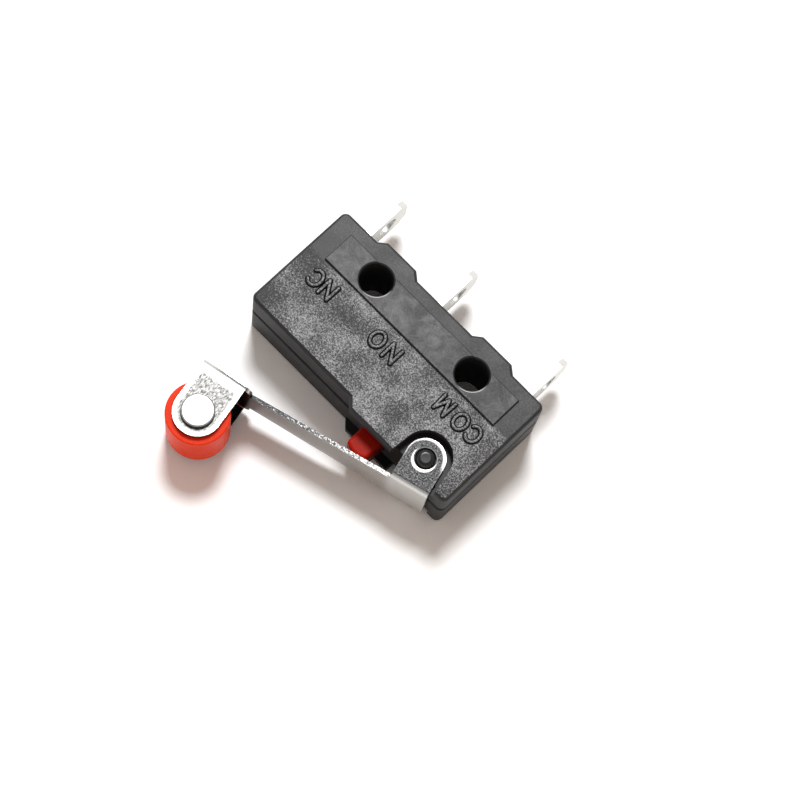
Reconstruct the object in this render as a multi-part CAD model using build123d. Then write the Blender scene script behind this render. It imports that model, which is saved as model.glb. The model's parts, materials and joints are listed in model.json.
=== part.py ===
from build123d import *
import os
from math import cos, radians, sin

# Lever micro switch with a roller, lying on its back face.
# Origin: middle of the two mounting holes, on the back face. +X to the common terminal and
# the lever pivot, +Y to the terminals, +Z out of the cover face. Millimetres and degrees.

# Housing
body_length = 19.9
hole_to_end = 5.2            # mounting hole's middle to the body's end
hole_diameter = 2.5
hole_chamfer = 0.1
body_depth = 6.2             # back face to cover face
parting_height = 3.7         # back face to the case rim, where the cover begins
terminal_side = 2.1          # hole line to the wall that the terminals leave
lever_side = 7.25            # hole line to the wall that the plunger leaves
wall = 0.9
floor_thickness = 1.2
roof_thickness = 1.0
boss_wall = 0.9              # plastic round each mounting hole
corner_radius = 0.5
rim_radius = 0.25            # moulded edge of the cover face and the back face
parting_gap = 0.45           # height of the groove under the cover's rim
parting_step = 0.2           # depth of that groove
parting_chamfer = 0.08       # broken edges on both sides of that groove

# Guard flanges on the pivot half of the lever side, with a channel between them
flange_rise = 0.65
flange_thickness = 0.85
flange_start = 0.0           # hole pattern's middle to where the flanges' ramp begins

# Bumps on the terminal side, one at each mounting hole
bump_rise = 0.5
bump_top = 2.8
bump_ramp = 0.62

# Smooth pad round the mounting holes on the cover face
pad_rise = 0.2
pad_edge = 0.07
pad_inset = 1.6              # body's end to the pad
pad_to_terminals = 1.05
pad_to_lever = 1.55

# Lever pivot and its two pockets
pivot_to_end = 3.25          # pivot to the body's end
pivot_inset = 0.83           # pivot to the lever side's wall
pocket_radius = 1.88
pocket_wall = 0.5
pocket_end_flare = 12.0
pocket_arm_flare = 5.0
pivot_boss_dome = 0.35       # rounding of the boss's top
pivot_boss_stand = 0.12      # boss above the ear
pivot_clearance = 0.06
ear_side_clearance = 0.1

# Folded lever
sheet = 0.3
lever_width = 5.0            # over both ears
fold_radius = 0.1            # inside of each fold
lever_angle = 15.0           # arm to the housing when released
pivot_to_web = 2.05
ear_radius = 1.45
ear_hole_diameter = 1.5
ear_hole_edge = 0.12
arm_root_width = 3.8
arm_tip_width = 2.7
roller_reach = 14.95         # pivot to the roller ears' root, along the arm
roller_end_turn = 3.5        # ears and their web turned back towards the housing's line
roller_ear_radius = 1.78
roller_plate_margin = 0.45   # web behind the roller past the ears, where the arm begins
roller_plate_inset = 0.25    # that web's edge below the ears' outer face
roller_plate_corner = 0.6
roller_gap = 0.83            # roller to the web

# Roller and its rivet
roller_diameter = 4.6
roller_edge = 0.1
roller_end_play = 0.1
rivet_diameter = 1.2
rivet_clearance = 0.05
rivet_head_diameter = 2.42
rivet_head_height = 0.32
rivet_head_edge = 0.14

# Plunger
pivot_to_plunger = 3.9
plunger_width = 1.85
plunger_height = 2.6
plunger_tip_radius = 1.6     # dome that meets the arm
plunger_corner = 0.3         # dome to the plunger's sides
plunger_edge = 0.25
plunger_clearance = 0.06
plunger_to_lever = 0.04
collar_width = 3.0
collar_thickness = 0.8
collar_gap = 0.15            # collar to the wall that holds it in

# Terminals
common_to_end = 1.65         # tag's middle to the body's end
closed_to_end = 2.05
open_share = 0.27            # open terminal off the middle, as a share of the room to a hole boss
tag_thickness = 0.5
tag_width = 3.2
tag_reach = 6.2              # hole line to the tag's tip
tag_tip_chamfer = 0.7
tag_slot_clearance = 0.03
eyelet_diameter = 1.6
eyelet_from_tip = 1.9
arm_to_boss = 0.25           # open contact's arm to the hole boss
plate_to_floor = 0.3         # terminal's plate inside to the housing's floor
plate_to_roof = 0.5

# Contacts and snap blade
closed_to_contact = 1.4      # closed terminal's tag to the contacts' middle
contact_diameter = 1.4
contact_height = 0.35
contact_edge = 0.12
contact_gap = 0.5
closed_gap = 0.03
arm_overhang = 0.8           # arm past the contact's middle
blade_thickness = 0.2
blade_width = 2.2
pivot_to_knife = 1.8         # lever pivot to the blade's knife edge, along X
blade_tail = 0.3
knife_height = 0.4
knife_clearance = 0.02
spring_thickness = 0.15
spring_width = 1.4
spring_span = 3.0
spring_clearance = 0.02

# Places that follow from the sizes
half_length = body_length / 2
hole_spacing = body_length - 2 * hole_to_end
pad_length = body_length - 2 * pad_inset
middle_z = body_depth / 2
hole_radius = hole_diameter / 2
boss_radius = hole_radius + boss_wall
pivot_x = half_length - pivot_to_end
pivot_y = pivot_inset - lever_side
plunger_x = pivot_x - pivot_to_plunger
blade_pivot_x = pivot_x - pivot_to_knife
common_x = half_length - common_to_end
closed_x = closed_to_end - half_length
open_x = -open_share * (hole_spacing / 2 - boss_radius)
contact_x = closed_x + closed_to_contact
tag_root = terminal_side - wall
hole_places = [Pos(-hole_spacing / 2, 0, 0), Pos(hole_spacing / 2, 0, 0)]
flange_side = lever_side + flange_rise
pad_top = body_depth + pad_rise
ear_top = middle_z + lever_width / 2
pocket_floor = ear_top - sheet - ear_side_clearance
web_outer = pivot_to_web + sheet
roller_radius = roller_diameter / 2
roller_out = web_outer + roller_gap + roller_radius
roller_width = lever_width - 2 * sheet - 2 * roller_end_play
rivet_radius = rivet_diameter / 2
lever_place = Pos(pivot_x, pivot_y, middle_z) * Rot(0, 0, lever_angle)
plate_start = roller_ear_radius + roller_plate_margin
bend_x = plate_start - roller_reach
roller_end_place = (
    Pos(bend_x, -web_outer, 0) * Rot(0, 0, -roller_end_turn) * Pos(-plate_start, web_outer, 0)
)
roller_place = lever_place * roller_end_place * Pos(0, -roller_out, 0)

open_arm_y = -(boss_radius + arm_to_boss + tag_thickness / 2)
open_contact_face = open_arm_y - tag_thickness / 2 - contact_height
blade_y = open_contact_face - contact_gap - contact_height - blade_thickness / 2
closed_contact_face = blade_y - blade_thickness / 2 - contact_height - closed_gap
closed_arm_y = closed_contact_face - contact_height - tag_thickness / 2
common_arm_y = blade_y + blade_thickness / 2 + knife_height + tag_thickness / 2
blade_end_x = contact_x - arm_overhang
collar_y = -(lever_side - wall) + collar_gap
foot_y = collar_y + collar_thickness

# Middle of the plunger's dome, which meets the inside of the arm at its released angle
arm_tilt = radians(lever_angle)
tip_drop = pivot_to_web - plunger_tip_radius - plunger_to_lever + pivot_to_plunger * sin(arm_tilt)
tip_y = pivot_y - tip_drop / cos(arm_tilt)


def slab(sketch, low, high):
    """Upright prism of a plan sketch between two heights."""
    return Pos(0, 0, low) * extrude(sketch, high - low)


def block(x_range, y_range, z_range):
    """Box given by its low and high corner on each axis."""
    size = [high - low for low, high in (x_range, y_range, z_range)]
    middle = [(low + high) / 2 for low, high in (x_range, y_range, z_range)]
    return Pos(*middle) * Box(*size)


def housing_outline():
    """Plan of the whole housing: bumps on the terminal side, flanges on half of the lever side."""
    bumps = []
    for middle in (hole_spacing / 2, -hole_spacing / 2):
        foot = bump_top / 2 + bump_ramp
        bumps += [(middle + foot, terminal_side), (middle + bump_top / 2, terminal_side + bump_rise)]
        bumps += [(middle - bump_top / 2, terminal_side + bump_rise), (middle - foot, terminal_side)]
    corners = [(-half_length, terminal_side), (-half_length, -lever_side)]
    corners += [(flange_start, -lever_side), (flange_start + flange_rise, -flange_side)]
    corners += [(half_length, -flange_side), (half_length, terminal_side)]
    plan = make_face(Polyline(*corners, *bumps, close=True))
    ends = [v for v in plan.vertices() if abs(abs(v.X) - half_length) < corner_radius / 2]
    return fillet(ends, corner_radius)


def pocket_plan(radius):
    """Plan of a lever pocket: round about the pivot, its two walls flaring out to the lever side."""
    mouth = -flange_side - lever_side
    points = []
    for side, flare in ((-1, radians(pocket_arm_flare)), (1, radians(pocket_end_flare))):
        touch = (pivot_x + side * radius * cos(flare), pivot_y + radius * sin(flare))
        run = touch[1] - mouth
        points.append([touch, (touch[0] + side * run * sin(flare) / cos(flare), mouth)])
    throat = make_face(Polyline(points[0][0], points[0][1], points[1][1], points[1][0], close=True))
    return Pos(pivot_x, pivot_y) * Circle(radius) + throat


def cavity_plan():
    """Plan of the inside: walls all round, bosses at the holes, a solid block behind the lever pockets."""
    inside = Pos(0, (terminal_side - lever_side) / 2) * Rectangle(
        body_length - 2 * wall, terminal_side + lever_side - 2 * wall
    )
    for place in hole_places:
        inside -= place * Circle(boss_radius)
    return inside - pocket_plan(pocket_radius + pocket_wall)


def tag_slots():
    """Slots in the terminal wall, one for each tag."""
    half = tag_thickness / 2 + tag_slot_clearance
    reach = tag_width / 2 + tag_slot_clearance
    across = (tag_root - tag_slot_clearance, terminal_side + bump_rise + wall)
    rise = (middle_z - reach, middle_z + reach)
    return [block((x - half, x + half), across, rise) for x in (common_x, open_x, closed_x)]


def housing_cuts():
    """What is taken out of both halves: cavity, channel, pockets, plunger guide, slots and holes."""
    pocket = pocket_plan(pocket_radius)
    throat_end = pivot_x + pocket_radius
    channel = block(
        (-body_length, throat_end),
        (-flange_side - wall, -lever_side),
        (flange_thickness, body_depth - flange_thickness),
    )
    guide_x = plunger_width / 2 + plunger_clearance
    guide_z = plunger_height / 2 + plunger_clearance
    guide = block(
        (plunger_x - guide_x, plunger_x + guide_x),
        (-lever_side - wall, -lever_side + 2 * wall),
        (middle_z - guide_z, middle_z + guide_z),
    )
    cuts = [
        slab(cavity_plan(), floor_thickness, body_depth - roof_thickness),
        slab(pocket, pocket_floor, pad_top + wall),
        slab(pocket, -wall, body_depth - pocket_floor),
        channel,
        guide,
    ]
    cuts += tag_slots()
    cuts += [place * slab(Circle(hole_radius), -wall, pad_top + wall) for place in hole_places]
    return cuts


def pivot_boss():
    """Boss that the cover-side ear turns on, with a domed top."""
    boss = Pos(0, 0, pocket_floor) * Cylinder(
        ear_hole_diameter / 2 - pivot_clearance,
        ear_top + pivot_boss_stand - pocket_floor,
        align=(Align.CENTER, Align.CENTER, Align.MIN),
    )
    return Pos(pivot_x, pivot_y, 0) * fillet(boss.edges().sort_by(Axis.Z)[-1], pivot_boss_dome)


def hole_leads(height, lift):
    """Cones that break the rims of the mounting holes at the given height; lift is the way out."""
    cone = Cone(hole_radius, hole_radius + 2 * hole_chamfer, 2 * hole_chamfer)
    turned = cone if lift > 0 else Rot(180, 0, 0) * cone
    return [place * Pos(0, 0, height) * turned for place in hole_places]


def cover_leads():
    """Leads of the holes on the cover, which the pad's edge crosses: each side of it at its own height."""
    span = (-half_length, half_length)
    rise = (0, 2 * pad_top)
    pad_part = block(span, (-lever_side, pad_to_terminals), rise)
    strip_part = block(span, (pad_to_terminals, lever_side), rise)
    return [pad_part & lead for lead in hole_leads(pad_top, 1)] + [
        strip_part & lead for lead in hole_leads(body_depth, 1)
    ]


def rounded_rim(solid, height, size, shaper):
    """Shapes the outer edges of a housing half at one height with fillet or chamfer."""
    rim = [e for e in solid.edges() if abs(e.center().Z - height) < size / 2 and abs(e.tangent_at(0).Z) < 0.5]
    return shaper(rim, size)


def make_case():
    """Lower half of the housing, with the mounting face; its rim steps in to leave the parting groove."""
    shoulder = parting_height - parting_gap
    solid = slab(housing_outline(), 0, shoulder)
    solid = rounded_rim(solid, 0, rim_radius, fillet)
    solid = rounded_rim(solid, shoulder, parting_chamfer, chamfer)
    solid += slab(offset(housing_outline(), -parting_step), shoulder - parting_gap, parting_height)
    for cut in housing_cuts() + hole_leads(0, -1):
        solid -= cut
    mirrored = Pos(0, 0, body_depth) * mirror(pivot_boss(), about=Plane.XY)
    return solid + mirrored


def make_cover():
    """Upper half of the housing, with the raised pad round the holes."""
    solid = slab(housing_outline(), parting_height, body_depth)
    solid = rounded_rim(solid, body_depth, rim_radius, fillet)
    solid = rounded_rim(solid, parting_height, parting_chamfer, chamfer)
    pad = block(
        (-pad_length / 2, pad_length / 2), (-pad_to_lever, pad_to_terminals), (body_depth - wall, pad_top)
    )
    solid += pad
    solid = rounded_rim(solid, pad_top, pad_edge, fillet)
    for cut in housing_cuts() + cover_leads():
        solid -= cut
    return solid + pivot_boss()


def folded_channel(half_width, near, far):
    """Ears of the lever folded off its web: near is the web's outer side of the fold, far the ears' end."""
    way = 1 if far > near else -1
    half = lever_width / 2
    outer = block((-half_width, half_width), sorted((near, far)), (-half, half))
    inner = block((-half_width, half_width), sorted((near + way * sheet, far)), (sheet - half, half - sheet))
    pick = 0 if way > 0 else -1
    outer = fillet(outer.edges().filter_by(Axis.X).group_by(Axis.Y)[pick], fold_radius + sheet)
    inner = fillet(inner.edges().filter_by(Axis.X).group_by(Axis.Y)[pick], fold_radius)
    return outer - inner


def ear_plan(radius, middle, root):
    """Plan of a pair of ears: round about middle, straight back to the root line, in Y."""
    shank = Pos(0, (middle + root) / 2) * Rectangle(2 * radius, abs(middle - root))
    return Pos(0, middle) * Circle(radius) + shank


def web_plate(plan):
    """Flat stretch of the lever's web: a sketch of its length and width, as thick as the sheet."""
    return Pos(0, -pivot_to_web, 0) * extrude(Plane.XZ * plan, sheet)


def make_lever():
    """Folded steel lever: two ears at the pivot, a tapered arm, and two ears that hold the roller."""
    half = lever_width / 2
    hole_rim = ear_hole_diameter / 2
    pivot_ears = folded_channel(ear_radius, -web_outer, ear_radius)
    pivot_ears &= slab(ear_plan(ear_radius, 0, -web_outer), -half, half)
    pivot_ears -= slab(Circle(hole_rim), -half, half)
    circles = pivot_ears.edges().filter_by(GeomType.CIRCLE)
    rims = [e for e in circles if e.radius < ear_radius and abs(abs(e.center().Z) - half) < sheet / 2]
    pivot_ears = fillet([e for e in rims if abs(e.radius - hole_rim) < ear_hole_edge / 2], ear_hole_edge)
    roller_ears = folded_channel(roller_ear_radius, -pivot_to_web, -roller_out - roller_ear_radius)
    roller_ears &= slab(ear_plan(roller_ear_radius, -roller_out, -pivot_to_web), -half, half)
    roller_ears -= slab(Pos(0, -roller_out) * Circle(rivet_radius), -half, half)
    plate_plan = RectangleRounded(2 * plate_start, lever_width - 2 * roller_plate_inset, roller_plate_corner)
    plate = web_plate(plate_plan) & block((0, plate_start), (-web_outer, -pivot_to_web), (-half, half))
    roller_end = roller_end_place * (roller_ears + plate)
    root = arm_root_width / 2
    tip = arm_tip_width / 2
    arm_plan = Polyline((bend_x, -tip), (-ear_radius, -root), (-ear_radius, root), (bend_x, tip), close=True)
    return lever_place * (pivot_ears + web_plate(make_face(arm_plan)) + roller_end)


def make_rivet():
    """Rivet that carries the roller, with a flat round head on each ear."""
    length = lever_width + 2 * rivet_head_height
    head = Cylinder(rivet_head_diameter / 2, rivet_head_height)
    head = fillet(head.edges().sort_by(Axis.Z)[-1], rivet_head_edge)
    lift = (lever_width + rivet_head_height) / 2
    solid = Cylinder(rivet_radius, length - rivet_head_height)
    solid += Pos(0, 0, lift) * head + Pos(0, 0, -lift) * Rot(180, 0, 0) * head
    return roller_place * solid


def make_roller():
    """Plastic roller with rounded rims, bored to run on the rivet."""
    solid = Cylinder(roller_radius, roller_width)
    solid = fillet(solid.edges(), roller_edge)
    solid -= Cylinder(rivet_radius + rivet_clearance, roller_width)
    return roller_place * solid


def make_plunger():
    """Plunger: a domed stem through the wall, and a collar inside that keeps it in."""
    half_z = plunger_height / 2
    end_y = tip_y - plunger_tip_radius
    plan = Pos(plunger_x, (end_y + foot_y) / 2) * Rectangle(plunger_width, foot_y - end_y)
    dome = Pos(plunger_x, tip_y) * Circle(plunger_tip_radius)
    dome += Pos(plunger_x, (tip_y + foot_y) / 2) * Rectangle(plunger_width, foot_y - tip_y)
    plan &= dome
    plan = fillet(plan.vertices().group_by(Axis.Y)[0], plunger_corner)
    stem = slab(plan, middle_z - half_z, middle_z + half_z)
    ends = [e for e in stem.edges() if e.center().Y < tip_y and abs(e.tangent_at(0).Z) < 0.5]
    stem = fillet(ends, plunger_edge)
    collar = block(
        (plunger_x - collar_width / 2, plunger_x + collar_width / 2),
        (collar_y, foot_y),
        (middle_z - half_z, middle_z + half_z),
    )
    return stem + collar


def make_terminal(x, arm_y, arm_end):
    """Terminal: an upright solder tag at x, with an eyelet, on an inside plate that folds into an arm."""
    half = tag_thickness / 2
    rise = (floor_thickness + plate_to_floor, body_depth - roof_thickness - plate_to_roof)
    plate = block((x - half, x + half), (arm_y - half, tag_root), rise)
    plate += block(sorted((x, arm_end)), (arm_y - half, arm_y + half), rise)
    across = (middle_z - tag_width / 2, middle_z + tag_width / 2)
    tag = block((x - half, x + half), (tag_root, tag_reach), across)
    tag = chamfer(tag.edges().filter_by(Axis.X).group_by(Axis.Y)[-1], tag_tip_chamfer)
    tag -= Pos(x, tag_reach - eyelet_from_tip, middle_z) * Rot(0, 90, 0) * Cylinder(
        eyelet_diameter / 2, 2 * tag_thickness
    )
    return plate + tag


def make_common():
    """Common terminal, with the knife edge that the snap blade rocks on."""
    arm_end = blade_pivot_x - blade_tail
    knife_root = common_arm_y - tag_thickness / 2
    knife_tip = blade_y + blade_thickness / 2 + knife_clearance
    half = (blade_tail + knife_height) / 2
    feet = [(blade_pivot_x - half, knife_root), (blade_pivot_x + half, knife_root)]
    knife = make_face(Polyline(feet[0], (blade_pivot_x, knife_tip), feet[1], close=True))
    ridge = slab(knife, middle_z - blade_width / 2, middle_z + blade_width / 2)
    return make_terminal(common_x, common_arm_y, arm_end) + ridge


def contact_button(face, root):
    """Round contact on an arm or on the blade, from its root to its face in Y, with a rounded rim."""
    button = Cylinder(contact_diameter / 2, abs(face - root))
    button = fillet(button.edges().sort_by(Axis.Z)[-1], contact_edge)
    turn = Rot(90, 0, 0) if face < root else Rot(-90, 0, 0)
    return Pos(contact_x, (face + root) / 2, middle_z) * turn * button


def make_moving_contact():
    """Double contact riveted through the end of the blade."""
    skin = blade_thickness / 2
    solid = contact_button(blade_y - skin - contact_height, blade_y)
    return solid + contact_button(blade_y + skin + contact_height, blade_y)


def make_blade():
    """Snap blade: a thin strip from its tail behind the knife edge to past the moving contact."""
    half = blade_thickness / 2
    strip = block(
        (blade_end_x, blade_pivot_x + blade_tail),
        (blade_y - half, blade_y + half),
        (middle_z - blade_width / 2, middle_z + blade_width / 2),
    )
    return strip - make_moving_contact()


def make_snap_spring():
    """Bow spring between the plunger's foot and the blade."""
    crown = foot_y + spring_clearance
    ends = blade_y - blade_thickness / 2 - spring_clearance
    rise = ends - crown
    reach = spring_span / 2
    radius = (reach * reach + rise * rise) / (2 * rise)
    middle = Pos(plunger_x, crown + radius)
    ring = middle * Circle(radius) - middle * Circle(radius - spring_thickness)
    window = Pos(plunger_x, (crown + ends) / 2) * Rectangle(spring_span + 2 * radius, rise)
    return slab(ring & window, middle_z - spring_width / 2, middle_z + spring_width / 2)


pieces = {
    "case": make_case(),
    "cover": make_cover(),
    "lever": make_lever(),
    "roller": make_roller(),
    "rivet": make_rivet(),
    "plunger": make_plunger(),
    "common_terminal": make_common(),
    "open_terminal": make_terminal(open_x, open_arm_y, blade_end_x),
    "closed_terminal": make_terminal(closed_x, closed_arm_y, contact_x + arm_overhang),
    "open_contact": contact_button(open_contact_face, open_arm_y - tag_thickness / 2),
    "closed_contact": contact_button(closed_contact_face, closed_arm_y + tag_thickness / 2),
    "blade": make_blade(),
    "moving_contact": make_moving_contact(),
    "snap_spring": make_snap_spring(),
}

os.makedirs("parts", exist_ok=True)
for node, piece in pieces.items():
    export_step(piece, f"parts/{node}.step")
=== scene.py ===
import json

import bmesh
import bpy
import numpy as np
from mathutils import Matrix, Vector


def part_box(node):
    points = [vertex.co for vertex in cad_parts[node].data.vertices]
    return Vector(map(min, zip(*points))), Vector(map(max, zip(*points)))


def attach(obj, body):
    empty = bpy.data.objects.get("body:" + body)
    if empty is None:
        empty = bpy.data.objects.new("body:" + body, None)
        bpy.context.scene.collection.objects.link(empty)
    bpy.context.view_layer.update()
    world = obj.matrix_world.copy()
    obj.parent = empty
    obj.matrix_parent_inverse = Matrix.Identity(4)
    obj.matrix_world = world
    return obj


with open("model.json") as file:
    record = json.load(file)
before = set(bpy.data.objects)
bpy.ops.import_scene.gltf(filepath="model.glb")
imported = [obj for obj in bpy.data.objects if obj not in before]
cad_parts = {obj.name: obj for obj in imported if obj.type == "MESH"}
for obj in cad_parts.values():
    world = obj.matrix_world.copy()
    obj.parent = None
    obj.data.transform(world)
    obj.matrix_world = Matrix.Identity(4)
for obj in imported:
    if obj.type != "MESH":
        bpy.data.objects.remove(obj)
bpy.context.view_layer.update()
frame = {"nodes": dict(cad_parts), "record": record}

bl_info = {
    "name": "Lever Micro Switch Finish",
    "version": (1, 0, 0),
    "blender": (4, 5, 0),
    "location": "View3D > Sidebar > Switch",
    "description": "Surfaces, raised terminal marks, light and camera for a roller lever micro switch",
    "category": "Object",
}

MM = 0.001
# A vector times this keeps its X and Y and loses its Z.
FLATTEN = (1.0, 1.0, 0.0)
# The cover's face lies lower than the pad round the mounting holes.
COVER_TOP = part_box("cover")[1].z
PAD_RISE = 0.2 * MM
COVER_FACE = COVER_TOP - PAD_RISE
HOLES = next(m for m in frame["record"]["mounts"] if m["name"] == "mounting_holes")["dims"]
HOLE_RADIUS = HOLES["hole_r_mm"] * MM
HOLE_AXIS = (HOLES["spacing_x_mm"] / 2 * MM, 0.0, 0.0)
# The lever as it lies at rest: its angle to the housing and that of its roller end, the way of its arm
# from the pivot, and the way of each ear from its hole to its fold.
JOINTS = {joint["name"]: joint for joint in frame["record"]["behaviour"]["joints"]}
PIVOT = tuple(JOINTS["lever_pivot"]["pos_m"])
ROLLER = tuple(JOINTS["roller_spin"]["pos_m"])
LEVER_ANGLE = np.radians(15.0)
ROLLER_END_ANGLE = np.radians(11.5)
ARM_WAY = (-np.cos(LEVER_ANGLE), -np.sin(LEVER_ANGLE), 0.0)
PIVOT_EAR_WAY = (np.sin(LEVER_ANGLE), -np.cos(LEVER_ANGLE), 0.0)
ROLLER_EAR_WAY = (-np.sin(ROLLER_END_ANGLE), np.cos(ROLLER_END_ANGLE), 0.0)
EAR_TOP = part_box("lever")[1].z


def linear(code):
    """Linear colour of an sRGB hex code: each channel up to 0.04045 is divided by 12.92; a higher one has
    0.055 added, is divided by 1.055 and raised to the power 2.4."""
    part = np.array([int(code[i:i + 2], 16) for i in (1, 3, 5)]) / 255
    low, high = part / 12.92, ((part + 0.055) / 1.055) ** 2.4
    return tuple(float(x) for x in np.where(part <= 0.04045, low, high))


def colour(name, description, code):
    """Colour property with its default as a hex code."""
    return bpy.props.FloatVectorProperty(
        name=name, description=description, subtype="COLOR", size=3, min=0, max=1, default=linear(code)
    )


def length(name, description, millimetres):
    """Length property in metres with its default in millimetres."""
    return bpy.props.FloatProperty(
        name=name, description=description, subtype="DISTANCE", unit="LENGTH", min=0, precision=6,
        default=millimetres * MM,
    )


def share(name, description, value):
    """Property from 0 to 1."""
    return bpy.props.FloatProperty(
        name=name, description=description, subtype="FACTOR", min=0, max=1, default=value
    )


def amount(name, description, value, unit="NONE"):
    """Property from 0 up, with a unit where one fits."""
    return bpy.props.FloatProperty(name=name, description=description, unit=unit, min=0, default=value)


def section(name, description, kind):
    """Property that holds a group of others."""
    return bpy.props.PointerProperty(name=name, description=description, type=kind)


class HousingLook(bpy.types.PropertyGroup):
    """Moulded housing halves."""
    plastic: colour("Plastic", "Moulded black thermoplastic", "#272728")
    # The bloom colour also paints the glints on the tops of the grain and on the crowns of the marks.
    bloom_and_glint: colour("Bloom", "Paler skin where the filler comes to the surface", "#c0c4c9")
    grain: length("Grain", "Spacing of the spark-eroded texture", 0.099)
    grain_depth: length("Grain depth", "Height of the spark-eroded texture", 0.025)
    wave: length("Wave", "Spacing of the waviness of the flat faces", 3.0)
    wave_depth: length("Wave depth", "Height of the waviness of the flat faces", 0.07)
    smoke: length("Smoke", "Spacing of the pale swirls on the smooth faces", 1.6)
    haze: share("Haze", "Most bloom in those swirls", 0.24)
    roughness: share("Roughness", "Roughness of the cover face and the pad", 0.44)
    wall_roughness: share("Wall roughness", "Roughness of the side walls", 0.62)


class MarkLook(bpy.types.PropertyGroup):
    """Raised terminal marks."""
    height: length("Letter height", "Height of a capital", 1.62)
    stroke: length("Stroke", "Width of a stroke at its foot", 0.4)
    relief: length("Relief", "Stroke above the cover face", 0.16)
    line: length("Line", "Hole line to the middle of the letters", 2.98)
    # Painted shade: the flank colour is near black, standing in for the shade on the sides of the strokes.
    flank_shade: colour("Flank", "Polished plastic on the sides of the strokes", "#020203")


class LeverLook(bpy.types.PropertyGroup):
    """Folded lever and its rivet."""
    steel: colour("Steel", "Nickel-plated spring steel", "#d6d5d2")
    # The dull colour is also the painted shade on the lever's walls and on the rivet's sides.
    dull_and_shade: colour("Dull grain", "Steel in the tumbling marks", "#2c2d2f")
    grain: length("Grain", "Spacing of the tumbling marks", 0.11)
    dent_depth: length("Dent depth", "Depth of the tumbling marks", 0.012)
    roughness: share("Roughness", "Roughness of the plated strip", 0.3)
    matt: share("Matt", "Roughness of the dented flats of the ears", 0.48)
    scuff: length("Scuff", "Spacing of the scuffs on the ears at the roller", 0.13)
    rivet_roughness: share("Rivet roughness", "Roughness of the rivet's heads", 0.3)


class RedLook(bpy.types.PropertyGroup):
    """Roller and plunger."""
    roller: colour("Roller", "Red acetal of the roller", "#ff4019")
    # Painted shade: the plunger's red is darker than the roller's, standing in for the cover's shadow on it.
    plunger: colour("Plunger", "Darker red acetal of the plunger", "#b31d0a")
    scatter: length("Scatter", "Depth that light reaches under the surface", 0.8)
    roughness: share("Roughness", "Roughness of the moulded skin", 0.42)


class TagLook(bpy.types.PropertyGroup):
    """Terminals, contacts and springs."""
    silver: colour("Silver", "Silver plating on the tags", "#dededb")
    copper: colour("Copper", "Rolled beryllium copper of the blade and the spring", "#c98a5c")
    contact: colour("Contact", "Silver alloy of the contacts", "#eceae6")


class StageLook(bpy.types.PropertyGroup):
    """Floor, light and camera."""
    floor: colour("Floor", "Matt white sweep", "#f4f6f8")
    floor_gain: amount("Floor gain", "Times as bright as the sweep is seen, so that it is white", 1.32)
    fill: colour("Fill", "Soft warm light from all sides", "#ffeddf")
    fill_strength: amount("Fill strength", "Strength of the fill", 0.4)
    ceiling: share("Ceiling", "Brightness of the ceiling that the metal reflects", 0.07)
    key_power: amount("Key power", "Watts of the key lamp", 11.4, "POWER")
    key: colour("Key", "Colour of the key lamp", "#ffffff")
    key_size: length("Key size", "Width of the key lamp", 330)
    key_distance: length("Key distance", "Key lamp to the switch", 1200)


class SwitchLook(bpy.types.PropertyGroup):
    """Everything that a user would change on the switch, one group for each step."""
    housing: section("Housing", "Moulded housing halves", HousingLook)
    marks: section("Marks", "Raised terminal marks", MarkLook)
    lever: section("Lever", "Folded lever and its rivet", LeverLook)
    red: section("Red parts", "Roller and plunger", RedLook)
    tags: section("Tags", "Terminals, contacts and springs", TagLook)
    stage: section("Stage", "Floor, light and camera", StageLook)


def put(tree, kind, inputs, **fields):
    """Adds a node to a tree: fields are set on it, and each input gets a value or a link from an output."""
    made = tree.nodes.new(kind)
    for key, value in fields.items():
        setattr(made, key, value)
    for key, value in inputs.items():
        if isinstance(value, bpy.types.NodeSocket):
            tree.links.new(value, made.inputs[key])
        else:
            made.inputs[key].default_value = value
    return made


def blank(name):
    """New material and its empty tree."""
    made = bpy.data.materials.new(name)
    made.use_nodes = True
    made.node_tree.nodes.clear()
    return made, made.node_tree


def rgba(shade):
    """Colour as the four numbers that a socket takes."""
    return (*shade, 1.0)


def dress(nodes, material):
    """Puts a material into every slot of the named CAD nodes."""
    for name in nodes:
        for slot in frame["nodes"][name].material_slots:
            slot.material = material


# Housing finish. The grain begins at this Y, fading in from the first to the second place, and its border
# wanders by the length below.
GRAIN_BORDER = (-1.4 * MM, -1.7 * MM)
GRAIN_WANDER = 0.5 * MM
# Below the cover's face by the first of these nothing counts as its top, and by the second all does.
FACE_DROP = (0.2 * MM, 0.1 * MM)
# Spacing of the patches in which the painted glints are denser.
PATCH = 2.2 * MM
# Spots where fewer painted glints leave the grain darker: place along X and Y and reach in millimetres, and
# the share left.
FEWER_GLINTS = (
    (-5.0, -3.6, 1.2, 0.5), (-4.0, -3.4, 1.3, 0.4), (-3.0, -3.2, 1.3, 0.25),
    (8.9, -2.6, 1.6, 0.8), (3.2, -5.8, 1.5, 0.4),
    (-9.6, -1.8, 3.4, 0.0), (-9.7, -6.4, 2.6, 0.05), (9.3, -6.8, 2.0, 0.6),
)
# The holes' broken edges: reach beyond the radius, the way that the ones with the painted highlight lean,
# and their slope as the upward part of the normal, with its tolerance.
EDGE_REACH = (0.18 * MM, 0.12 * MM)
HIGHLIGHT_WAY = (-0.72, 0.69, 0.0)
EDGE_SLOPE, EDGE_TOLERANCE = 0.707, 0.2
# Distances from the pivot's axis between which its end turns glossy.
PIVOT_END = (0.75 * MM, 0.65 * MM)
PLASTIC_IOR = 1.5


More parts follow.
